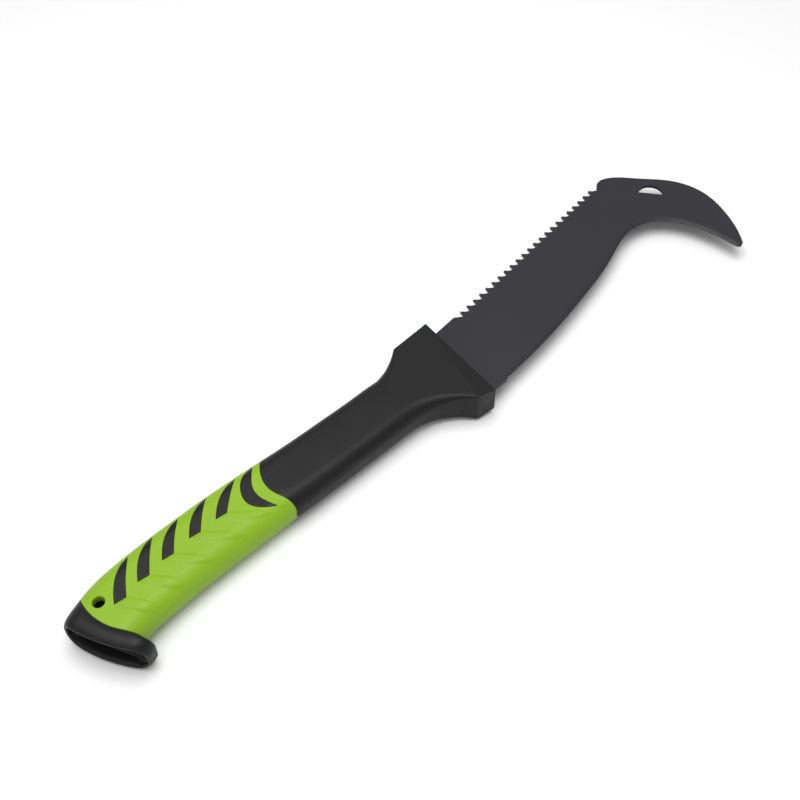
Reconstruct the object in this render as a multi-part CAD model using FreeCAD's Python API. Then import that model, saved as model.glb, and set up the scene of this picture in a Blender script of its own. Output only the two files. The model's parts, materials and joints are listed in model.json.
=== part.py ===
import FreeCAD, Part
import math
import os

# Pruning saw with a fixed, hooked blade and a moulded handle, lying on its side. Millimetres.
# Working frame: X runs along the neck from the front of the bolster towards the blade's tip, Y from the neck's
# centre line towards the saw teeth, Z up from the blade's middle plane. TO_ORIGIN moves every piece so that the
# origin is the middle of the underside of the whole tool's box.
V = FreeCAD.Vector

# Blade: flat sheet, with saw teeth on its back and a plain ground edge
BLADE_THICKNESS = 2.0
BLADE_TIP_X = 232.6
BLADE_ROOT_X = -8.0
ROOT_TEETH_SIDE = 21.9
ROOT_EDGE_SIDE = -31.6
TOOTH_COUNT = 23
TOOTH_PITCH = 6.63
TOOTH_DEPTH = 4.5
TOOTH_LINE_DEG = 8.1
FIRST_GULLET = V(30.5, 22.0, 0)
TIP_AHEAD = 0.28
HOLLOW_AHEAD = 0.55
HOLLOW_DEPTH = 0.42
GRIND_WIDTH = 3.0
EDGE_LAND = 0.4
HANG_HOLE_CENTRE = V(205.6, 16.2, 0)
HANG_HOLE_RADIUS = 8.3
HANG_HOLE_TURN = -51.0

# Tang: the blade's own sheet, narrowed, that the handle is moulded round
TANG_LENGTH = 118.0
TANG_HALF_WIDTH = 12.0
TANG_HOLE_RADIUS = 4.0
TANG_HOLES_X = (-96.0, -64.0, -32.0)

# Handle core
NECK_HALF_THICKNESS = 10.25
NECK_CORNER = 8.0
NECK_FRONT_X = -49.0
NECK_TEETH_SIDE = 17.8
NECK_EDGE_SIDE = -18.3
BOLSTER_REAR_TEETH = (-25.9, 25.8)
BOLSTER_FRONT_TEETH = (2.6, 27.7)
BOLSTER_FRONT_EDGE = (-2.7, -36.2)
BOLSTER_REAR_EDGE = (-14.9, -34.2)
BOLSTER_CORNER = 1.0
FACET_DROP = 1.9
FACET_OVERRUN = 0.3
FACET_REACH = 3.0
CAVITY_FRONT_X = -150.0
WEB_THICKNESS = 1.8
WEB_REAR_X = -261.0
WEB_FRONT_X = -160.0

# Half height of the upright blocks that divide the handle into its pieces, more than the handle's own
BLOCK = 20.0

# Soft parts
SLEEVE_THICKNESS = 2.0
LANYARD_CENTRE = V(-246.9, 2.6, 0)
LANYARD_RADIUS = 3.4
LANYARD_LINING = 1.6
REAR_SEAM_CENTRE = V(-219.5, 2.6, 0)
REAR_SEAM_RADIUS = 34.2
REAR_SEAM_TURNS = (141.0, 196.0, 250.0)
POMMEL_HALF_THICKNESS = 12.0
POMMEL_LIP_RADIUS = 2.8
POMMEL_CENTRE = V(-255.6, -14.2, 0)
POMMEL_TURN = 25.5
POMMEL_BLOCK_LENGTH = 40.0

TO_ORIGIN = V(17.0, 3.75, POMMEL_HALF_THICKNESS)

# Sections of the neck and grip: centre x and y, turn about Z in degrees, half width, half thickness, corner radius
GRIP_SECTIONS = (
    (-252.5, -7.4, 21.5, 20.4, 11.0, 10.3),
    (-239.0, -2.8, 15.0, 20.3, 11.0, 10.4),
    (-225.0, -0.9, 8.0, 20.4, 11.0, 10.4),
    (-209.0, 0.2, 3.0, 20.3, 11.0, 10.4),
    (-192.0, 0.75, 1.0, 20.15, 11.0, 10.4),
    (-175.0, 1.0, 0.0, 20.1, 11.0, 10.4),
    (-158.0, 0.9, 0.0, 19.8, 11.0, 10.3),
    (-141.0, 0.6, 0.0, 19.4, 10.85, 9.9),
    (-124.0, 0.05, 0.0, 18.9, 10.55, 9.1),
    (-107.0, -0.2, 0.0, 18.5, 10.35, 8.5),
    (-88.0, -0.25, 0.0, 18.2, NECK_HALF_THICKNESS, 8.1),
    (-68.0, -0.25, 0.0, 18.05, NECK_HALF_THICKNESS, NECK_CORNER),
    (NECK_FRONT_X, -0.25, 0.0, 18.05, NECK_HALF_THICKNESS, NECK_CORNER),
)

# Sections of the hollow, from outside the rear opening to its closed front, in the same terms
CAVITY_SECTIONS = (
    (-262.0, -16.9, 25.5, 20.9, 7.8, 6.4),
    (-256.0, -13.6, 25.0, 20.2, 7.2, 6.4),
    (-249.0, -6.6, 21.0, 15.6, 6.3, 5.8),
    (-236.0, -2.0, 13.0, 15.5, 6.2, 5.7),
    (-225.0, -0.9, 8.0, 15.5, 6.2, 5.7),
    (-205.0, 0.3, 2.0, 15.4, 6.2, 5.7),
    (-180.0, 1.0, 0.0, 15.3, 6.2, 5.7),
    (CAVITY_FRONT_X, 0.8, 0.0, 14.5, 6.0, 5.5),
)

# Sections of the pommel: distance ahead of its centre, centre across, half width, half thickness, corner radius
POMMEL_SECTIONS = (
    (20.0, 4.9, 20.3, 11.0, 10.4),
    (14.0, 4.9, 20.4, 11.0, 10.4),
    (9.0, 3.1, 22.3, 11.15, 10.6),
    (5.0, 0.7, 24.2, 11.6, 10.4),
    (1.0, -0.1, 24.5, POMMEL_HALF_THICKNESS, 9.6),
    (-3.5, -0.1, 24.5, POMMEL_HALF_THICKNESS, 9.4),
    (-8.0, -0.1, 24.5, POMMEL_HALF_THICKNESS, 9.4),
)

# Bowed rear end of the pommel in plan, ahead and across
POMMEL_END_ARC = ((2.5, -30.0), (-3.6, 0.0), (0.7, 30.0))

# Dark stripes in the sleeve: where each starts, and how far its tip lies along and across from there
STRIPES = (
    ((-242.0, -4.0), (21.0, 19.6)),
    ((-226.2, -1.4), (21.7, 18.9)),
    ((-209.9, 0.5), (21.7, 16.9)),
    ((-192.0, 1.7), (22.6, 16.4)),
    ((-174.9, 1.7), (24.4, 15.6)),
)
STRIPE_FOOT = (6.7, -0.7)
STRIPE_REAR_SIDE = ((0.17, 0.31), (0.37, 0.58), (0.61, 0.81), (0.82, 0.945))
STRIPE_FRONT_SIDE = ((0.66, 0.53), (0.83, 0.76))
WINDOW_LEVEL = 3.0


def curve(points):
    """Smooth edge through the points."""
    spline = Part.BSplineCurve()
    spline.interpolate([V(*p) for p in points])
    return spline.toShape()


def lines(points):
    """Straight edges from point to point."""
    return [Part.LineSegment(V(*a), V(*b)).toShape() for a, b in zip(points, points[1:])]


def arc(start, middle, end):
    return Part.Arc(V(*start), V(*middle), V(*end)).toShape()


def turned(degrees):
    angle = math.radians(degrees)
    return V(math.cos(angle), math.sin(angle), 0)


def prism(edges, low, high):
    """Closed outline at z = 0, pulled between two heights."""
    face = Part.Face(Part.Wire(Part.sortEdges(edges)[0]))
    face.translate(V(0, 0, low))
    solid = face.extrude(V(0, 0, high - low))
    if solid.Volume < 0:
        solid.reverse()
    return solid


def rounded_section(x, y, turn, half_width, half_thickness, corner):
    """Rounded rectangle that stands across the handle, turned about Z."""
    across = turned(turn + 90)
    up = V(0, 0, 1)
    flat_w = half_width - corner
    flat_t = half_thickness - corner
    slant = corner * math.sqrt(0.5)

    def at(u, v):
        return V(x, y, 0) + across * u + up * v

    corners = []
    for su, sv in ((1, 1), (-1, 1), (-1, -1), (1, -1)):
        side = at(su * half_width, sv * flat_t)
        top = at(su * flat_w, sv * half_thickness)
        middle = at(su * (flat_w + slant), sv * (flat_t + slant))
        corners.append((side, middle, top) if su * sv > 0 else (top, middle, side))
    edges = []
    for here, following in zip(corners, corners[1:] + corners[:1]):
        edges.append(Part.Arc(*here).toShape())
        edges.append(Part.LineSegment(here[2], following[0]).toShape())
    return Part.Wire(edges)


def handle_form(inset):
    """Grip and neck as one smooth form, drawn in by inset all round."""
    wires = []
    for x, y, turn, half_width, half_thickness, corner in GRIP_SECTIONS:
        sizes = (half_width - inset, half_thickness - inset, corner - inset)
        wires.append(rounded_section(x, y, turn, *sizes))
    return Part.makeLoft(wires, True, False)


def tooth_profile():
    """Points along the saw teeth, from the first gullet to the last."""
    along = turned(TOOTH_LINE_DEG)
    outward = turned(TOOTH_LINE_DEG + 90)
    points = []
    for index in range(TOOTH_COUNT):
        gullet = FIRST_GULLET + along * (TOOTH_PITCH * index)
        tip = gullet + along * (TIP_AHEAD * TOOTH_PITCH) + outward * TOOTH_DEPTH
        hollow = gullet + along * (HOLLOW_AHEAD * TOOTH_PITCH) + outward * (HOLLOW_DEPTH * TOOTH_DEPTH)
        points += [gullet, tip, hollow]
    points.append(FIRST_GULLET + along * (TOOTH_PITCH * TOOTH_COUNT))
    return points


def plain_edge():
    """Cutting edge, from its step by the bolster along the belly and into the hook."""
    return curve((
        (14.5, -29.7), (60, -24.3), (100, -16.3), (140, -5.2), (160, 1.5),
        (175, 1.8), (188, -4.2), (198, -16.5), (203, -29.5), (206, -54.0),
    ))


def hang_hole():
    """Half-round hole near the crown of the hook."""
    reach = turned(HANG_HOLE_TURN) * HANG_HOLE_RADIUS
    rise = turned(HANG_HOLE_TURN + 90) * HANG_HOLE_RADIUS
    ends = (HANG_HOLE_CENTRE + reach, HANG_HOLE_CENTRE - reach)
    round_side = arc(ends[0], HANG_HOLE_CENTRE + rise, ends[1])
    return prism([round_side] + lines(ends), -BLADE_THICKNESS, BLADE_THICKNESS)


def blade_outline():
    teeth = tooth_profile()
    root = (
        (14.5, -29.7), (12.5, -31.2), (BLADE_ROOT_X, ROOT_EDGE_SIDE), (BLADE_ROOT_X, -TANG_HALF_WIDTH),
        (-TANG_LENGTH, -TANG_HALF_WIDTH), (-TANG_LENGTH, TANG_HALF_WIDTH), (BLADE_ROOT_X, TANG_HALF_WIDTH),
        (BLADE_ROOT_X, ROOT_TEETH_SIDE), (24.9, 25.7), teeth[0],
    )
    crown = (teeth[-1], (183.2, 45.6), (186.4, 48.1), (191.0, 48.9))
    back_of_hook = curve((
        (191.0, 48.9), (196.4, 46.9), (211.4, 32.4), (226.6, 14.4), (BLADE_TIP_X, -5.6),
        (226.9, -30.6), (216.4, -49.6), (212.4, -54.6),
    ))
    nose = arc((212.4, -54.6), (208.8, -56.4), (206, -54.0))
    return lines(root) + lines(teeth) + lines(crown) + [back_of_hook, nose, plain_edge()]


def blade():
    """Sheet steel blade with its tang, saw teeth, ground edge and hanging hole."""
    body = prism(blade_outline(), -BLADE_THICKNESS / 2, BLADE_THICKNESS / 2)
    for x in TANG_HOLES_X:
        body = body.cut(Part.makeCylinder(TANG_HOLE_RADIUS, 2 * BLADE_THICKNESS, V(x, 0, -BLADE_THICKNESS)))
    body = body.cut(hang_hole())
    edge = plain_edge()
    long_edges = [e for e in body.Edges if abs(e.Length - edge.Length) < 1.0]
    return body.makeChamfer((BLADE_THICKNESS - EDGE_LAND) / 2, GRIND_WIDTH, long_edges)


def flare(edge_side, corner):
    """Concave arc that leaves the neck along X and ends at a rear corner of the bolster."""
    start = (NECK_FRONT_X, edge_side)
    run = corner[0] - start[0]
    rise = corner[1] - start[1]
    sweep = 2 * math.atan2(abs(rise), run)
    radius = run / math.sin(sweep)
    sag = math.copysign(radius * (1 - math.cos(sweep / 2)), rise)
    return arc(start, (start[0] + radius * math.sin(sweep / 2), start[1] + sag), corner)


def bolster_facet(side):
    """Wedge that bevels one face towards the bolster's front corner on the cutting-edge side."""
    high = NECK_HALF_THICKNESS
    low = high - FACET_DROP
    far = V(*BOLSTER_FRONT_TEETH, high)
    rear = V(*BOLSTER_REAR_EDGE, high)
    front = V(*BOLSTER_FRONT_EDGE, low)
    hinge = far - rear
    slope = front - rear
    start = rear - hinge * FACET_OVERRUN
    end = far + hinge * FACET_OVERRUN
    face = Part.Face(Part.makePolygon([start, start + slope * FACET_REACH, end + slope * FACET_REACH, end, start]))
    wedge = face.extrude(V(0, 0, high))
    if side < 0:
        wedge = wedge.mirror(V(0, 0, 0), V(0, 0, 1))
    return wedge


def bolster():
    """Wide block at the front of the handle, whose flares keep the neck's rounding and lose it at the corners."""
    flares = [flare(NECK_TEETH_SIDE, BOLSTER_REAR_TEETH), flare(NECK_EDGE_SIDE, BOLSTER_REAR_EDGE)]
    block = lines((BOLSTER_REAR_TEETH, BOLSTER_FRONT_TEETH, BOLSTER_FRONT_EDGE, BOLSTER_REAR_EDGE))
    rear = lines(((NECK_FRONT_X, NECK_EDGE_SIDE), (NECK_FRONT_X, NECK_TEETH_SIDE)))
    body = prism(flares + block + rear, -NECK_HALF_THICKNESS, NECK_HALF_THICKNESS)
    for flare_edge in flares:
        for height in (NECK_HALF_THICKNESS, -NECK_HALF_THICKNESS):
            probe = flare_edge.valueAt(sum(flare_edge.ParameterRange) / 2)
            probe.z = height
            edge = min(body.Edges, key=lambda e: e.distToShape(Part.Vertex(probe))[0])
            radii = (NECK_CORNER, BOLSTER_CORNER)
            if edge.Vertexes[0].Point.x > edge.Vertexes[-1].Point.x:
                radii = radii[::-1]
            body = body.makeFillet(*radii, [edge])
    for side in (1, -1):
        body = body.cut(bolster_facet(side))
    return body


def front_of_sleeve():
    """S-shaped seam, in plan, between the sleeve and the neck."""
    return curve((
        (-129.0, 24.0), (-133.0, 17.9), (-138.9, 9.9), (-142.3, 0.0), (-141.3, -7.3),
        (-137.8, -16.4), (-137.9, -24.0),
    ))


def rear_of_sleeve():
    """Bowed seam, in plan, between the sleeve and the pommel."""
    ends = [REAR_SEAM_CENTRE + turned(angle) * REAR_SEAM_RADIUS for angle in REAR_SEAM_TURNS]
    return arc(*ends)


def sleeve_region():
    """Block that holds the sleeve's whole length, between its two seams."""
    rear = rear_of_sleeve()
    teeth_side = ((-129.0, 24.0), (-190.0, 30.0), rear.valueAt(rear.FirstParameter))
    edge_side = (rear.valueAt(rear.LastParameter), (-190.0, -30.0), (-137.9, -24.0))
    return prism([front_of_sleeve(), rear] + lines(teeth_side) + lines(edge_side), -BLOCK, BLOCK)


def neck_region():
    """Block that holds everything ahead of the sleeve."""
    outline = ((-129.0, 24.0), (-100.0, 50.0), (20.0, 50.0), (20.0, -50.0), (-110.0, -50.0), (-137.9, -24.0))
    return prism([front_of_sleeve()] + lines(outline), -BLOCK, BLOCK)


def cavity():
    """Hollow of the handle, open at the rear and narrowing to its closed front."""
    funnel = [rounded_section(*section) for section in CAVITY_SECTIONS[:3]]
    bore = [rounded_section(*section) for section in CAVITY_SECTIONS[2:]]
    return Part.makeLoft(funnel, True, False).fuse(Part.makeLoft(bore, True, False))


def web():
    """Upright wall that stiffens the hollow and carries the lanyard hole's boss."""
    low = V(WEB_REAR_X, LANYARD_CENTRE.y - WEB_THICKNESS / 2, -NECK_HALF_THICKNESS)
    return Part.makeBox(WEB_FRONT_X - WEB_REAR_X, WEB_THICKNESS, 2 * NECK_HALF_THICKNESS, low)


def upright(radius):
    """Cylinder on the lanyard hole's axis, longer than the grip is thick."""
    return Part.makeCylinder(radius, 2 * BLOCK, LANYARD_CENTRE - V(0, 0, BLOCK))


def stripe_outline(start, reach):
    """Slanted leaf with a blunt foot and a pointed tip."""
    def at(fraction):
        return (start[0] + fraction[0] * reach[0], start[1] + fraction[1] * reach[1])

    foot = (start[0] + STRIPE_FOOT[0], start[1] + STRIPE_FOOT[1])
    tip = at((1, 1))
    rear_side = curve([start] + [at(f) for f in STRIPE_REAR_SIDE] + [tip])
    front_side = curve([foot] + [at(f) for f in STRIPE_FRONT_SIDE] + [tip])
    return [rear_side, front_side] + lines((start, foot))


def crescent_outline():
    """Crescent that follows the sleeve's front seam."""
    rear_side = curve((
        (-138.5, 17.6), (-146.5, 15.0), (-154.1, 7.6), (-156.5, -1.5), (-153.2, -8.1), (-145.5, -13.2),
    ))
    front_side = curve(((-145.5, -13.2), (-149.2, -2.5), (-148.3, 4.5), (-143.8, 11.2), (-138.5, 17.6)))
    return [rear_side, front_side]


def grip_pieces(form, core_form):
    """Sleeve with its windows, and the dark shapes that fill them on both faces of the grip."""
    shell = form.cut(core_form).common(sleeve_region())
    lining = upright(LANYARD_RADIUS + LANYARD_LINING).common(form)
    shell = shell.fuse(lining).removeSplitter()
    pieces = {}
    outlines = {f"stripe_{index + 1}": stripe_outline(*stripe) for index, stripe in enumerate(STRIPES)}
    outlines["crescent"] = crescent_outline()
    for name, outline in outlines.items():
        for face, low, high in (("top", WINDOW_LEVEL, BLOCK), ("under", -BLOCK, -WINDOW_LEVEL)):
            window = prism(outline, low, high)
            pieces[f"{name}_{face}"] = shell.common(window)
            shell = shell.cut(window)
    pieces["grip_sleeve"] = shell.cut(upright(LANYARD_RADIUS))
    return pieces


def handle_core(form, core_form, hollow, blade_body):
    """Hard moulding: bolster, neck and the tube inside the grip, moulded round the blade's tang."""
    body = form.fuse(bolster()).common(neck_region())
    body = body.fuse(core_form).removeSplitter()
    wall = web().common(core_form).fuse(web().common(hollow)).removeSplitter()
    body = body.cut(hollow).fuse(wall).removeSplitter()
    body = body.cut(upright(LANYARD_RADIUS + LANYARD_LINING))
    return body.cut(blade_body)


def on_pommel(ahead, across):
    """Point in plan, measured along and across the pommel's own axis."""
    return POMMEL_CENTRE + turned(POMMEL_TURN) * ahead + turned(POMMEL_TURN + 90) * across


def pommel_end():
    """Block that holds the pommel up to its bowed rear end."""
    corners = [on_pommel(*corner) for corner in POMMEL_END_ARC]
    front = [on_pommel(POMMEL_BLOCK_LENGTH, across) for across in (POMMEL_END_ARC[2][1], POMMEL_END_ARC[0][1])]
    return prism([arc(*corners)] + lines((corners[2], front[0], front[1], corners[0])), -BLOCK, BLOCK)


def pommel_bumper(core_form, hollow):
    """Soft flared end: a lobe on the cutting-edge side, a rounded lip and the rear opening."""
    wires = []
    for ahead, across, half_width, half_thickness, corner in POMMEL_SECTIONS:
        centre = on_pommel(ahead, across)
        wires.append(rounded_section(centre.x, centre.y, POMMEL_TURN, half_width, half_thickness, corner))
    body = Part.makeLoft(wires, True, False).common(pommel_end())
    rearward = turned(POMMEL_TURN)
    end_face = min(body.Faces, key=lambda face: face.CenterOfMass.dot(rearward))
    body = body.makeFillet(POMMEL_LIP_RADIUS, end_face.OuterWire.Edges)
    body = body.cut(sleeve_region()).cut(core_form).cut(hollow)
    return body


def build():
    os.makedirs("parts", exist_ok=True)
    form = handle_form(0)
    core_form = handle_form(SLEEVE_THICKNESS)
    hollow = cavity()
    blade_body = blade()
    pieces = {"blade": blade_body}
    pieces["handle_core"] = handle_core(form, core_form, hollow, blade_body)
    pieces.update(grip_pieces(form, core_form))
    pieces["pommel_bumper"] = pommel_bumper(core_form, hollow)
    for name, shape in pieces.items():
        shape.translate(TO_ORIGIN)
        shape.exportStep(f"parts/{name}.step")


build()
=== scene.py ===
import json
import math

import bpy
import numpy as np
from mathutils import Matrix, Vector
from mathutils.geometry import delaunay_2d_cdt


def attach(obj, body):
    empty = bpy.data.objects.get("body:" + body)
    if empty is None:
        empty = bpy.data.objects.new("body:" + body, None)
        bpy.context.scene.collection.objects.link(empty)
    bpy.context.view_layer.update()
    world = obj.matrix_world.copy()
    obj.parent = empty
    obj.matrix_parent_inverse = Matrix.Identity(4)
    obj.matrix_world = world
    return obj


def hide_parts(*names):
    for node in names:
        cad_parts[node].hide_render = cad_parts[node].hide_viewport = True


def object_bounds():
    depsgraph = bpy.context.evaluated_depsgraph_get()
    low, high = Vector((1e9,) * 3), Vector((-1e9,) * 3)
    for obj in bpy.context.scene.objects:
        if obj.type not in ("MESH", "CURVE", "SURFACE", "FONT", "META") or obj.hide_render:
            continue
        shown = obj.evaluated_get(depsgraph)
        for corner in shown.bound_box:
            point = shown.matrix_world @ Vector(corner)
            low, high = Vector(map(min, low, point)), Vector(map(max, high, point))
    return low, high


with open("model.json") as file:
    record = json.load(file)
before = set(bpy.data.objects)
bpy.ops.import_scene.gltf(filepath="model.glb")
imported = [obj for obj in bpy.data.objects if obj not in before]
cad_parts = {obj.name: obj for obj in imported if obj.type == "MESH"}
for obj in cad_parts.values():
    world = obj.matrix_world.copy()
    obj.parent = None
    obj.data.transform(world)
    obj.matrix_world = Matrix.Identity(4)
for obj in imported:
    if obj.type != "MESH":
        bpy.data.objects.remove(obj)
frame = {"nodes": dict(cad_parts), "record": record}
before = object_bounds()
scene = bpy.context.scene
nodes = frame["nodes"]

# Shape numbers below are millimetres in a frame that starts where the neck meets the bolster: x towards the
# blade's tip, y towards the saw teeth, z up from the blade's middle plane. The lanyard hole's mount ties it
# to the row frame.
LANYARD = np.array((-246.9, 2.6, 0.0))
mount = next(m for m in frame["record"]["mounts"] if m["name"] == "lanyard_hole")
ORIGIN = np.array(mount["pos_m"]) * 1000.0 - LANYARD


# ---------------------------------------------------------------- materials


DRIFT_SCALE = 28.0  # slow change of colour over the whole piece, in cells per metre
MOTTLE_SHARE = 0.22  # scale of the uneven sheen, as a share of the grain's
GRAIN_STRENGTH = 0.35


class Finish:
    """Builds one procedural material."""

    def __init__(self, name, base, specular):
        self.material = bpy.data.materials.new(name)
        self.material.use_nodes = True
        self.tree = self.material.node_tree
        self.shader = self.tree.nodes["Principled BSDF"]
        self.shader.inputs["Specular IOR Level"].default_value = specular
        self.base = base
        self.coordinates = self.add("ShaderNodeTexCoord").outputs["Object"]

    def add(self, kind, **values):
        node = self.tree.nodes.new(kind)
        for key, value in values.items():
            setattr(node, key, value)
        return node

    def link(self, source, target):
        self.tree.links.new(source, target)

    def noise(self, scale, detail=2.0):
        node = self.add("ShaderNodeTexNoise")
        node.inputs["Scale"].default_value = scale
        node.inputs["Detail"].default_value = detail
        self.link(self.coordinates, node.inputs["Vector"])
        return node.outputs[0]

    def span(self, value, low, high):
        """The middle of a noise's range, spread between two values."""
        node = self.add("ShaderNodeMapRange")
        self.link(value, node.inputs["Value"])
        node.inputs["From Min"].default_value = 0.3
        node.inputs["From Max"].default_value = 0.7
        node.inputs["To Min"].default_value = low
        node.inputs["To Max"].default_value = high
        return node.outputs["Result"]

    def colour(self, value, change):
        """Base colour that varies by a small share with the value."""
        mix = self.add("ShaderNodeMix", data_type="RGBA")
        self.link(value, mix.inputs["Factor"])
        # a colour mix has its two colours in sockets 6 and 7, and its result in output 2
        mix.inputs[6].default_value = (*[c * (1 - change) for c in self.base], 1)
        mix.inputs[7].default_value = (*[min(1, c * (1 + change)) for c in self.base], 1)
        return mix.outputs[2]

    def bump(self, height, strength, depth):
        node = self.add("ShaderNodeBump")
        node.inputs["Strength"].default_value = strength
        node.inputs["Distance"].default_value = depth
        self.link(height, node.inputs["Height"])
        return node.outputs["Normal"]


def finish(name, base, rough, rough_change, change, grain, grain_depth, specular):
    """Moulded or coated finish: slow colour drift, uneven sheen and a fine grain."""
    made = Finish(name, base, specular)
    drift = made.noise(DRIFT_SCALE, 3.0)
    mottle = made.noise(grain * MOTTLE_SHARE, 3.0)
    fine = made.noise(grain)
    made.link(made.colour(drift, change), made.shader.inputs["Base Color"])
    made.link(made.span(mottle, rough - rough_change, rough + rough_change), made.shader.inputs["Roughness"])
    made.link(made.bump(fine, GRAIN_STRENGTH, grain_depth), made.shader.inputs["Normal"])
    return made.material


STEEL = finish("blade_steel", (0.0190, 0.0180, 0.0235), 0.44, 0.04, 0.06, 2400.0, 0.00004, 0.30)
CORE = finish("handle_black", (0.0075, 0.0077, 0.0081), 0.46, 0.05, 0.12, 2000.0, 0.00005, 0.22)
GREEN = finish("grip_green", (0.218, 0.388, 0.013), 0.45, 0.05, 0.04, 1500.0, 0.00006, 0.26)
SOFT = finish("soft_black", (0.0066, 0.0068, 0.0074), 0.42, 0.05, 0.12, 1700.0, 0.00006, 0.24)


# ---------------------------------------------------------------- the grip's form


# Sections of the grip: x, centre's y, turn in degrees, half width, half thickness, corner radius
SECTIONS = np.array((
    (-252.5, -7.4, 21.5, 20.4, 11.0, 10.3),
    (-239.0, -2.8, 15.0, 20.3, 11.0, 10.4),
    (-225.0, -0.9, 8.0, 20.4, 11.0, 10.4),
    (-209.0, 0.2, 3.0, 20.3, 11.0, 10.4),
    (-192.0, 0.75, 1.0, 20.15, 11.0, 10.4),
    (-175.0, 1.0, 0.0, 20.1, 11.0, 10.4),
    (-158.0, 0.9, 0.0, 19.8, 11.0, 10.3),
    (-141.0, 0.6, 0.0, 19.4, 10.85, 9.9),
    (-124.0, 0.05, 0.0, 18.9, 10.55, 9.1),
    (-107.0, -0.2, 0.0, 18.5, 10.35, 8.5),
))
DOMAIN = 53.0  # range of the place around the upper half, about its length in millimetres
SKIN = 2.0
HOLE_RADIUS = 3.2
HOLE_STEPS = 48
LINE_STEP = 0.5


def second_derivatives(x, y, led):
    """Second derivatives, at the points, of the cubic spline through them.

    Led ends take the slope of the cubic through the four points nearest them. Other ends are free.
    """
    count = len(x)
    system = np.zeros((count, count))
    right = np.zeros_like(y)
    system[0, 0] = system[-1, -1] = 1.0
    for i in range(1, count - 1):
        behind, ahead = x[i] - x[i - 1], x[i + 1] - x[i]
        system[i, i - 1:i + 2] = behind / 6, (behind + ahead) / 3, ahead / 6
        right[i] = (y[i + 1] - y[i]) / ahead - (y[i] - y[i - 1]) / behind
    if led:
        first, last = x[1] - x[0], x[-1] - x[-2]
        system[0, :2] = first / 3, first / 6
        system[-1, -2:] = last / 6, last / 3
        right[0] = (y[1] - y[0]) / first - np.polyfit(x[:4] - x[0], y[:4], 3)[2]
        right[-1] = np.polyfit(x[-4:] - x[-1], y[-4:], 3)[2] - (y[-1] - y[-2]) / last
    return np.linalg.solve(system, right)


def spline(x, y, at, led=False):
    """Cubic spline through the points, read at the given places."""
    bend = second_derivatives(x, y, led)
    i = np.clip(np.searchsorted(x, at) - 1, 0, len(x) - 2)
    h = (x[i + 1] - x[i])[:, None]
    a, b = (x[i + 1] - at)[:, None] / h, (at - x[i])[:, None] / h
    return a * y[i] + b * y[i + 1] + ((a ** 3 - a) * bend[i] + (b ** 3 - b) * bend[i + 1]) * h ** 2 / 6


def smooth_line(points, led=False):
    """Points about LINE_STEP apart along a smooth curve through the given ones."""
    points = np.array(points, float)
    reach = np.concatenate([[0], np.cumsum(np.linalg.norm(np.diff(points, axis=0), axis=1))])
    count = int(round(reach[-1] / LINE_STEP)) + 1
    return spline(reach, points, np.linspace(0, reach[-1], count), led)


def section_at(along):
    """Sections at places along: centre's y, turn's cosine and sine, half width, half thickness and corner."""
    y, turn, half_width, half_thickness, corner = spline(SECTIONS[:, 0], SECTIONS[:, 1:], along).T
    return y, np.cos(np.radians(turn)), np.sin(np.radians(turn)), half_width, half_thickness, corner


def upper_length(half_width, half_thickness, corner):
    """Length of the upper half of a rounded rectangle's outline, from side to side."""
    return 2 * ((half_thickness - corner) + corner * math.pi / 2 + (half_width - corner))


def upper_half(half_width, half_thickness, corner, share, depth=0.0):
    """Across and up on that outline, sunk by a depth, by the share of its length from the near side."""
    flat, wall = half_width - corner, half_thickness - corner
    length = upper_length(half_width, half_thickness, corner)
    reach = share * length - length / 2
    side, reach = np.sign(reach), np.abs(reach)
    angle = np.clip((reach - flat) / corner, 0, math.pi / 2)
    across = side * (np.minimum(reach, flat) + (corner - depth) * np.sin(angle))
    drop = np.maximum(reach - flat - corner * math.pi / 2, 0)
    return across, wall + (corner - depth) * np.cos(angle) - drop


def to_domain(plan):
    """Plan points on the upper half to (along, around).

    Around runs from the near silhouette to the far one.
    """
    along = plan[:, 0].copy()
    for _ in range(30):
        y, c, s, *_ = section_at(along)
        along += ((plan[:, 0] - along) * c + (plan[:, 1] - y) * s) / c
    y, c, s, half_width, half_thickness, corner = section_at(along)
    across = np.clip(-(plan[:, 0] - along) * s + (plan[:, 1] - y) * c, -half_width, half_width)
    flat = half_width - corner
    past = np.maximum(np.abs(across) - flat, 0)
    bowed = corner * np.arcsin(np.clip(past / corner, 0, 1))
    length = upper_length(half_width, half_thickness, corner)
    around = length / 2 + np.sign(across) * (np.minimum(np.abs(across), flat) + bowed)
    return np.stack([along, around / length * DOMAIN], 1)


def from_domain(points, depth):
    """(along, around) points, each sunk by its depth from the surface, to x, y, z on the upper half."""
    along, around = points.T
    y, c, s, half_width, half_thickness, corner = section_at(along)
    across, z = upper_half(half_width, half_thickness, corner, around / DOMAIN, depth)
    return np.stack([along - across * s, y + across * c, z], 1)


# ---------------------------------------------------------------- outlines on the grip

STRIPES = (
    ((-242.0, -4.0), (21.0, 19.6)),
    ((-226.2, -1.4), (21.7, 18.9)),
    ((-209.9, 0.5), (21.7, 16.9)),
    ((-192.0, 1.7), (22.6, 16.4)),
    ((-174.9, 1.7), (24.4, 15.6)),
)
REAR_SIDE = ((0.0, 0.0), (0.17, 0.31), (0.37, 0.58), (0.61, 0.81), (0.82, 0.945), (1.0, 1.0))
FRONT_SIDE = ((0.66, 0.53), (0.83, 0.76), (1.0, 1.0))
FOOT = (6.7, -0.7)
FRONT_SEAM = (
    (-129.0, 24.0), (-133.0, 17.9), (-138.9, 9.9), (-142.3, 0.0),
    (-141.3, -7.3), (-137.8, -16.4), (-137.9, -24.0),
)
REAR_SEAM_CENTRE, REAR_SEAM_RADIUS = np.array((-219.5, 2.6)), 34.2
REAR_SEAM_TURNS = (141, 250)
REAR_SEAM_STEPS = 140
SEAM_MARGIN = 0.9  # a seam's points closer than this to a silhouette are left out
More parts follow.
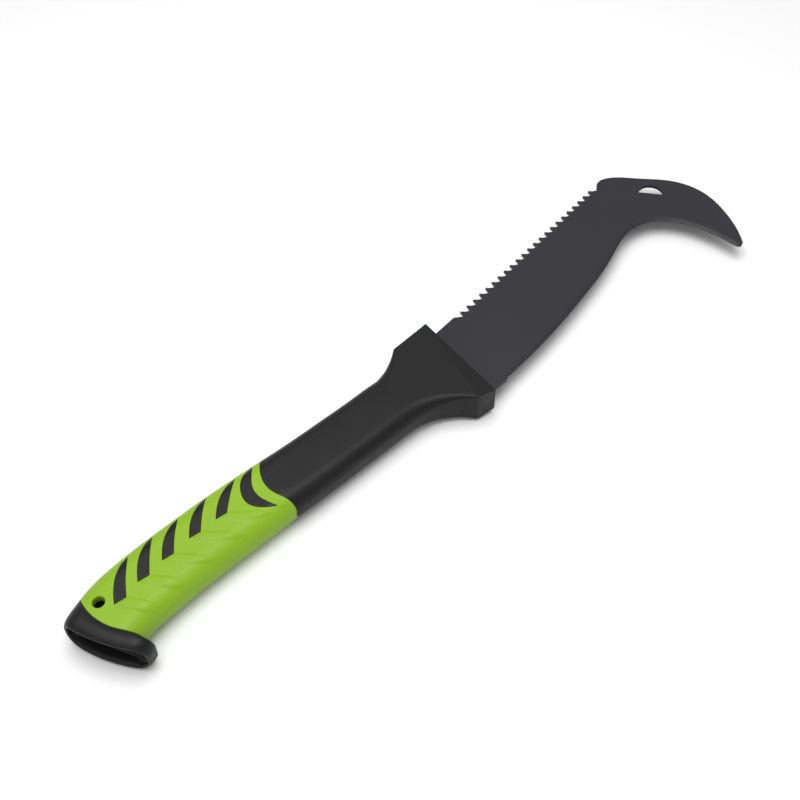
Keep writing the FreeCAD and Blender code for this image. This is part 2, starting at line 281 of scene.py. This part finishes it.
LAST_BAR = ((-160.5, -1.5), (23.0, 15.0))
BAR_HEIGHT = 0.55


def leaf(start, reach, mirrored=False):
    """Closed plan outline of one slanted stripe, or of its mirror image on the near side."""
    start = np.array(start)
    reach = np.array(reach) * ((1, -1) if mirrored else (1, 1))
    foot = start + FOOT
    rear = smooth_line([start + reach * share for share in REAR_SIDE])
    front = smooth_line([foot] + [start + reach * share for share in FRONT_SIDE])
    base = smooth_line([foot, start])
    return np.concatenate([rear[:-1], front[::-1][:-1], base[:-1]])


def crescent():
    """Closed plan outline of the crescent behind the front seam."""
    far_tip, near_tip = (-138.5, 17.6), (-145.5, -13.2)
    rear = smooth_line((far_tip, (-146.5, 15.0), (-154.1, 7.6), (-156.5, -1.5), (-153.2, -8.1), near_tip))
    front = smooth_line((near_tip, (-149.2, -2.5), (-148.3, 4.5), (-143.8, 11.2), far_tip))
    return np.concatenate([rear[:-1], front[:-1]])


def circle(centre, radius, angles):
    """Plan points at the given angles on a circle."""
    return centre + radius * np.stack([np.cos(angles), np.sin(angles)], 1)


def crossing(line):
    """Seam in the domain, clipped to the upper half and carried down to both silhouettes."""
    inside = to_domain(line)
    inside = inside[(inside[:, 1] > SEAM_MARGIN) & (inside[:, 1] < DOMAIN - SEAM_MARGIN)]
    if inside[0, 1] > inside[-1, 1]:
        inside = inside[::-1]
    low, high = inside[0], inside[-1]
    return np.concatenate([[[low[0], 0.0]], inside, [[high[0], DOMAIN]]])


def inside_of(points, outline):
    """True for the points inside a closed outline."""
    x, y = points[:, 0][:, None], points[:, 1][:, None]
    x0, y0 = outline[:, 0], outline[:, 1]
    x1, y1 = np.roll(x0, -1), np.roll(y0, -1)
    straddle = (y0 > y) != (y1 > y)
    with np.errstate(divide="ignore", invalid="ignore"):
        cross = x < (x1 - x0) * (y - y0) / (y1 - y0) + x0
    return (np.sum(straddle & cross, axis=1) % 2) == 1


def distance(points, line, closed=True):
    """Distance from each point to a line of short segments."""
    if closed:
        line = np.concatenate([line, line[:1]])
    best = np.full(len(points), np.inf)
    for start, end in zip(line, line[1:]):
        run = end - start
        share = np.clip(((points - start) @ run) / max(run @ run, 1e-12), 0, 1)
        best = np.minimum(best, np.linalg.norm(points - start - share[:, None] * run, axis=1))
    return best


def smoothstep(value, low, high):
    """Soft step from 0 to 1 between two values."""
    t = np.clip((value - low) / (high - low), 0, 1)
    return t * t * (3 - 2 * t)


round_hole = np.linspace(0, 2 * math.pi, HOLE_STEPS, endpoint=False)
rear_turns = np.radians(np.linspace(*REAR_SEAM_TURNS, REAR_SEAM_STEPS))
shapes = {f"stripe_{i + 1}": to_domain(leaf(*stripe)) for i, stripe in enumerate(STRIPES)}
shapes["crescent"] = to_domain(crescent())
hole = to_domain(circle(LANYARD[:2], HOLE_RADIUS, round_hole))
rear_seam = crossing(circle(REAR_SEAM_CENTRE, REAR_SEAM_RADIUS, rear_turns))
front_seam = crossing(smooth_line(FRONT_SEAM, led=True))
# one bar mirrors each stripe, and one more lies between the last stripe and the crescent
bars = [to_domain(leaf(*bar, mirrored=True)) for bar in (*STRIPES, LAST_BAR)]


def offset_rings(outline, distances, closed=True):
    """Copies of an outline moved to either side by the given distances."""
    if closed:
        run = np.roll(outline, -1, axis=0) - np.roll(outline, 1, axis=0)
    else:
        run = np.gradient(outline, axis=0)
    normal = np.stack([-run[:, 1], run[:, 0]], 1)
    normal /= np.maximum(np.linalg.norm(normal, axis=1), 1e-9)[:, None]
    return np.concatenate([outline + normal * d for d in distances])


# Spacing of the grip's triangles in the domain: rings of points beside every border, an even grid elsewhere
RINGS = (-0.9, -0.55, -0.3, -0.12, 0.12, 0.3, 0.55, 0.9)
RING_CLEARANCE = 0.09
GRID_STEP = 0.85
GRID_ROW = 0.866 * GRID_STEP
GRID_CLEARANCE = 1.25
GRID_SPAN = (-260, -128)
SIDE_CLEARANCE = 0.3
NEAR_SIDE_STEPS, FAR_SIDE_STEPS = 150, 160

closed_lines = list(shapes.values()) + [hole]
open_lines = [rear_seam, front_seam]


def border_distance(points):
    """Distance from each point to the nearest outline or seam."""
    best = np.full(len(points), np.inf)
    for line in closed_lines:
        best = np.minimum(best, distance(points, line))
    for line in open_lines:
        best = np.minimum(best, distance(points, line, closed=False))
    return best


def grip_triangles():
    """Triangulates the upper half of the grip with every outline as an exact border."""
    fixed, edges = [], []

    def add_loop(loop):
        start = sum(len(f) for f in fixed)
        fixed.append(loop)
        edges.extend((start + i, start + (i + 1) % len(loop)) for i in range(len(loop)))

    # both silhouettes are cut into steps so that they weld to the mirrored half
    near = np.linspace(rear_seam[0, 0], front_seam[0, 0], NEAR_SIDE_STEPS)[1:-1]
    far = np.linspace(front_seam[-1, 0], rear_seam[-1, 0], FAR_SIDE_STEPS)[1:-1]
    ring = np.concatenate([
        np.stack([near, np.zeros_like(near)], 1), front_seam,
        np.stack([far, np.full_like(far, DOMAIN)], 1), rear_seam[::-1],
    ])
    add_loop(ring)
    for loop in closed_lines:
        add_loop(loop)

    rows = []
    count = int(DOMAIN / GRID_ROW)
    for j in range(1, count):
        along = np.arange(*GRID_SPAN, GRID_STEP) + 0.5 * GRID_STEP * (j % 2)
        rows.append(np.stack([along, np.full_like(along, j * DOMAIN / count)], 1))
    grid = np.concatenate(rows)
    grid = grid[inside_of(grid, ring)]
    grid = grid[border_distance(grid) > GRID_CLEARANCE]
    rings = np.concatenate(
        [offset_rings(line, RINGS) for line in closed_lines]
        + [offset_rings(line, RINGS, closed=False) for line in open_lines]
    )
    rings = rings[(rings[:, 1] > SIDE_CLEARANCE) & (rings[:, 1] < DOMAIN - SIDE_CLEARANCE)]
    rings = rings[inside_of(rings, ring)]
    rings = rings[border_distance(rings) > RING_CLEARANCE]
    points = np.concatenate([*fixed, grid, rings])
    vertices, _, faces, *_ = delaunay_2d_cdt([Vector(p) for p in points], edges, [], 0, 1e-4)
    vertices = np.array([tuple(v) for v in vertices])
    faces = np.array(faces)
    return vertices, faces[inside_of(vertices[faces].mean(axis=1), ring)]


vertices, faces = grip_triangles()
edge_distance = border_distance(vertices)

# Raised bars on the near side: full height inside, soft shoulders, fading towards the near silhouette
raised = np.zeros(len(vertices))
for bar in bars:
    reach = distance(vertices, bar) * np.where(inside_of(vertices, bar), 1, -1)
    raised = np.maximum(raised, smoothstep(reach, -0.2, 0.5))
raised *= smoothstep(vertices[:, 1], 5.0, 13.0) * smoothstep(edge_distance, 0.3, 2.0) * BAR_HEIGHT


def rounding(d, radius):
    """How far a rounded border has dropped at a distance d from its edge."""
    short = np.clip(radius - d, 0, radius)
    return radius - np.sqrt(np.maximum(radius ** 2 - short ** 2, 0))


def shell(chosen, outer, inner):
    """Piece between two depths over the chosen triangles, above the middle plane.

    Walls close it along its borders, but not along the silhouettes, where the mirrored half is welded on.
    """
    used = np.unique(chosen)
    index = {v: i for i, v in enumerate(used)}
    tris = [tuple(index[v] for v in f) for f in chosen]
    count = len(used)
    top = from_domain(vertices[used], outer[used])
    base = from_domain(vertices[used], inner[used])
    sides = dict.fromkeys((a, b) for f in tris for a, b in zip(f, f[1:] + f[:1]))
    around = vertices[used][:, 1]
    on_side = (around < 1e-3) | (around > DOMAIN - 1e-3)
    walls = [(a, b) for a, b in sides if (b, a) not in sides and not (on_side[a] and on_side[b])]
    half = tris + [(f[0] + count, f[2] + count, f[1] + count) for f in tris]
    half += [(a, a + count, b + count, b) for a, b in walls]
    return np.concatenate([top, base]), half


def make_object(name, parts, material, replaced):
    """One mesh from (points, faces) parts, in millimetres, welded and placed in the row frame."""
    points, polygons, start = [], [], 0
    for part_points, part_faces in parts:
        points.append(part_points)
        polygons += [tuple(i + start for i in f) for f in part_faces]
        start += len(part_points)
    kept, places, welded = [], {}, []
    for point in np.concatenate(points):
        place = tuple(np.round(point, 4))
        if place not in places:
            places[place] = len(kept)
            kept.append(point)
        welded.append(places[place])
    cleaned = []
    for polygon in polygons:
        corners = [welded[i] for i in polygon]
        corners = [v for i, v in enumerate(corners) if v != corners[i - 1]]
        if len(set(corners)) >= 3:
            cleaned.append(corners)
    mesh = bpy.data.meshes.new(name)
    mesh.from_pydata([Vector((p + ORIGIN) / 1000.0) for p in kept], [], cleaned)
    mesh.validate()
    mesh.materials.append(material)
    mesh.shade_smooth()
    mesh.set_sharp_from_angle(angle=math.radians(50))
    made = bpy.data.objects.new(name, mesh)
    scene.collection.objects.link(made)
    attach(made, "root")
    if replaced:
        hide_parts(*replaced)


def mirrored(points, polygons):
    """The same part below the middle plane."""
    return points * np.array((1, 1, -1)), [tuple(reversed(f)) for f in polygons]


# Which piece each triangle belongs to: an inlay, the hole, or else the sleeve
centres = vertices[faces].mean(axis=1)
owner = np.full(len(faces), -1)
names = list(shapes)
for number, name in enumerate(names):
    owner[inside_of(centres, shapes[name])] = number
owner[inside_of(centres, hole)] = len(names)

# Orient every triangle so that its outer side faces out
corners = vertices[faces]
first_side, second_side = corners[:, 1] - corners[:, 0], corners[:, 2] - corners[:, 0]
turn = first_side[:, 0] * second_side[:, 1] - first_side[:, 1] * second_side[:, 0]
faces = np.where((turn < 0)[:, None], faces[:, ::-1], faces)

EDGE_RADIUS = 0.32
HOLE_EDGE_RADIUS = 0.7
PLUG_SINK, PLUG_EDGE_RADIUS = 0.10, 0.30

near_hole = distance(vertices, hole)
hole_edge = np.where(near_hole < HOLE_EDGE_RADIUS, rounding(near_hole, HOLE_EDGE_RADIUS), -np.inf)
sleeve_outer = np.maximum(rounding(edge_distance, EDGE_RADIUS) - raised, hole_edge)
plug_outer = PLUG_SINK + rounding(edge_distance, PLUG_EDGE_RADIUS)
inner_face = np.full(len(vertices), SKIN)

TUBE_STEPS = 64
LINING_RADIUS = 4.9
LIP_LEVEL, LIP_TOP = 6.2, 10.2


def tube(low, high, inner, outer):
    """Closed ring round the lanyard hole's axis."""
    angles = np.linspace(0, 2 * math.pi, TUBE_STEPS, endpoint=False)
    loops = []
    for radius, z in ((inner, high), (inner, low), (outer, low), (outer, high)):
        loops.append(np.column_stack([circle(LANYARD[:2], radius, angles), np.full(TUBE_STEPS, z)]))
    polygons = []
    for k in range(4):
        a, b = k * TUBE_STEPS, ((k + 1) % 4) * TUBE_STEPS
        for i in range(TUBE_STEPS):
            j = (i + 1) % TUBE_STEPS
            polygons.append((a + i, a + j, b + j, b + i))
    return np.concatenate(loops), polygons


sleeve = shell(faces[owner == -1], sleeve_outer, inner_face)
make_object("grip", [sleeve, mirrored(*sleeve)], GREEN, ("grip_sleeve",))
upper_lip = tube(LIP_LEVEL, LIP_TOP, HOLE_RADIUS, LINING_RADIUS)
lower_lip = tube(-LIP_TOP, -LIP_LEVEL, HOLE_RADIUS, LINING_RADIUS)
make_object("lanyard_lip_upper", [upper_lip], GREEN, ())
make_object("lanyard_lip_lower", [lower_lip], GREEN, ())
# Painted shade: a soft black ring lines the middle of the lanyard hole and stands in for the shade deep
# inside the green-lined bore
painted_shade_tube = tube(-LIP_LEVEL, LIP_LEVEL, HOLE_RADIUS + 0.1, LINING_RADIUS)
make_object("lanyard_painted_shade_tube", [painted_shade_tube], SOFT, ())
for number, name in enumerate(names):
    plug = shell(faces[owner == number], plug_outer, inner_face)
    make_object(f"{name}_upper", [plug], SOFT, (f"{name}_top",))
    make_object(f"{name}_lower", [mirrored(*plug)], SOFT, (f"{name}_under",))


# ---------------------------------------------------------------- pommel

POMMEL = np.array((-255.6, -14.2, 0.0))
POMMEL_TURN = math.radians(25.5)
AHEAD = np.array((math.cos(POMMEL_TURN), math.sin(POMMEL_TURN), 0.0))
ACROSS = np.array((-math.sin(POMMEL_TURN), math.cos(POMMEL_TURN), 0.0))
UP = np.array((0.0, 0.0, 1.0))
POMMEL_STEPS = 141
LIP_DEPTH = 5.2
LIP_INNER_DEPTH = 2.4
LIP_CREST = 0.55  # share of the way from the lip's outside to its inside at which it reaches furthest back
LIP_CENTRE = -0.1
LIP_OUTER = (24.3, 12.0, 9.4)  # half width, half thickness, corner radius
LIP_INNER = (21.7, 8.0, 6.4)
# Sections of the hollow behind the lip: depth, centre across, half width, half thickness, corner radius
HOLLOW = ((2.6, 0.4, 20.4, 7.7, 6.6), (3.0, 0.8, 19.0, 7.0, 6.4), (4.6, 1.9, 17.6, 6.4, 6.0))
# Shares of the way from the seam to the lip at which the skin has a row of points, close together by the seam
SKIN_SHARES = (0, 0.015, 0.035, 0.06, 0.1, 0.16, 0.23, 0.31, 0.4, 0.5, 0.6, 0.7, 0.8, 0.9)
SEAM_PULL, LIP_PULL = 0.6, 1.3  # how strongly the skin's ends run along the pommel's axis


def on_pommel(ahead, across, up):
    return POMMEL + ahead[:, None] * AHEAD + across[:, None] * ACROSS + up[:, None] * UP


def end_of(across):
    """How far back the bowed rear end lies at a place across."""
    return -3.6 + 0.0058 * across ** 2 - 0.03 * across


def flared_skin(seam, lip, out):
    """Rows of points along cubic curves from the seam to the lip, with a rounded border at the seam."""
    chord = np.linalg.norm(lip - seam, axis=1)[:, None]
    rows = []
    for t in SKIN_SHARES:
        to_lip = 3 * t ** 2 - 2 * t ** 3
        from_seam, into_lip = t ** 3 - 2 * t ** 2 + t, t ** 3 - t ** 2
        pull = (from_seam * SEAM_PULL + into_lip * LIP_PULL) * chord * AHEAD
        row = (1 - to_lip) * seam + to_lip * lip - pull
        rows.append(row - out * rounding(np.linalg.norm(row - seam, axis=1), EDGE_RADIUS)[:, None])
    return rows


def rounded_lip(outer, inner):
    """Rows of points from the skin's end, back over the lip's crest and into the hollow."""

    def between(share):
        return [a + (b - a) * share for a, b in zip(outer, inner)]

    rows = []
    for phi in np.linspace(0, math.pi / 2, 15):
        across, up = between(LIP_CREST * (1 - math.cos(phi)))
        rows.append(on_pommel(end_of(across) + LIP_DEPTH * (1 - math.sin(phi)), across, up))
    for phi in np.linspace(0, math.pi / 2, 9)[1:]:
        across, up = between(LIP_CREST + (1 - LIP_CREST) * math.sin(phi))
        rows.append(on_pommel(end_of(across) + LIP_INNER_DEPTH * (1 - math.cos(phi)), across, up))
    return rows


def pommel():
    """Upper half of the soft flared end: skin from the seam to the lip, round the lip and into the hollow."""
    share = np.linspace(0, 1, POMMEL_STEPS)
    around = share * DOMAIN
    along = np.interp(around, rear_seam[:, 1], rear_seam[:, 0])
    seam_points = np.stack([along, around], 1)
    seam, under = (from_domain(seam_points, np.full(POMMEL_STEPS, depth)) for depth in (0.0, SKIN))
    out = (seam - under) / np.linalg.norm(seam - under, axis=1)[:, None]
    across, up = upper_half(*LIP_OUTER, share)
    outer = across + LIP_CENTRE, up
    across, up = upper_half(*LIP_INNER, share)
    inner = across + LIP_CENTRE, up
    lip = on_pommel(end_of(outer[0]) + LIP_DEPTH, *outer)
    rows = flared_skin(seam, lip, out) + rounded_lip(outer, inner)
    for depth, centre, *section in HOLLOW:
        across, up = upper_half(*section, share)
        rows.append(on_pommel(np.full(POMMEL_STEPS, depth), across + centre, up))
    rows.append(under)
    polygons = []
    for r in range(len(rows)):
        a, b = r * POMMEL_STEPS, ((r + 1) % len(rows)) * POMMEL_STEPS
        polygons += [(a + i, a + i + 1, b + i + 1, b + i) for i in range(POMMEL_STEPS - 1)]
    return np.concatenate(rows), polygons


end = pommel()
make_object("pommel", [end, mirrored(*end)], SOFT, ("pommel_bumper",))


# ---------------------------------------------------------------- CAD pieces that stay


def keep(name, material, radius, segments):
    """Gives a CAD node its finish and softly rounded edges."""
    node = nodes[name]
    node.data.materials.clear()
    node.data.materials.append(material)
    weld = node.modifiers.new("weld", "WELD")
    weld.merge_threshold = 1e-6
    bevel = node.modifiers.new("round", "BEVEL")
    bevel.width = radius
    bevel.segments = segments
    bevel.limit_method = "ANGLE"
    bevel.angle_limit = math.radians(35)
    bevel.harden_normals = True


keep("blade", STEEL, 0.00018, 2)
keep("handle_core", CORE, 0.0005, 3)


# ---------------------------------------------------------------- floor, light and camera


FLOOR = 4.0  # half of its side, in metres


def floor():
    """Wide white floor at the height that the tool lies on."""
    mesh = bpy.data.meshes.new("floor")
    corners = [(-FLOOR, -FLOOR, 0), (FLOOR, -FLOOR, 0), (FLOOR, FLOOR, 0), (-FLOOR, FLOOR, 0)]
    mesh.from_pydata(corners, [], [(0, 1, 2, 3)])
    made = Finish("floor", (0.86, 0.86, 0.86), 0.2)
    drift = made.noise(3.0)
    made.link(made.colour(drift, 0.01), made.shader.inputs["Base Color"])
    made.shader.inputs["Roughness"].default_value = 0.75
    mesh.materials.append(made.material)
    obj = bpy.data.objects.new("floor", mesh)
    scene.collection.objects.link(obj)
    obj.location.z = before[0].z


def softbox(name, place, target, side, power):
    """Square area light at a place in metres, turned to its target."""
    light = bpy.data.lights.new(name, "AREA")
    light.shape = "RECTANGLE"
    light.size = light.size_y = side
    light.energy = power
    obj = bpy.data.objects.new(name, light)
    scene.collection.objects.link(obj)
    obj.location = place
    obj.rotation_euler = (Vector(target) - Vector(place)).to_track_quat("-Z", "Y").to_euler()


def studio():
    """White surroundings that grow brighter from the horizon up."""
    world = bpy.data.worlds.new("studio")
    scene.world = world
    world.use_nodes = True
    tree = world.node_tree
    background = tree.nodes["Background"]
    direction = tree.nodes.new("ShaderNodeTexCoord")
    split = tree.nodes.new("ShaderNodeSeparateXYZ")
    rise = tree.nodes.new("ShaderNodeMapRange")
    rise.inputs["From Min"].default_value = -0.1
    rise.inputs["To Min"].default_value = 0.38
    rise.inputs["To Max"].default_value = 0.72
    tree.links.new(direction.outputs["Generated"], split.inputs["Vector"])
    tree.links.new(split.outputs["Z"], rise.inputs["Value"])
    tree.links.new(rise.outputs["Result"], background.inputs["Strength"])
    background.inputs["Color"].default_value = (1.0, 1.0, 1.0, 1)


floor()
studio()
softbox("key", (-0.05, 0.05, 1.0), (0, 0, 0), 0.8, 8.5)
softbox("fill", (-0.95, -0.15, 0.6), (-0.1, 0, 0), 0.7, 0.7)

camera_data = bpy.data.cameras.new("camera")
camera_data.lens = 50
camera_data.sensor_width = 36
camera = bpy.data.objects.new("camera", camera_data)
camera.location = (-0.30493, -0.29287, 0.51358)
camera.rotation_euler = (math.radians(39.1), 0, math.radians(-43.087))
scene.collection.objects.link(camera)
scene.camera = camera
scene.view_settings.view_transform = "Standard"
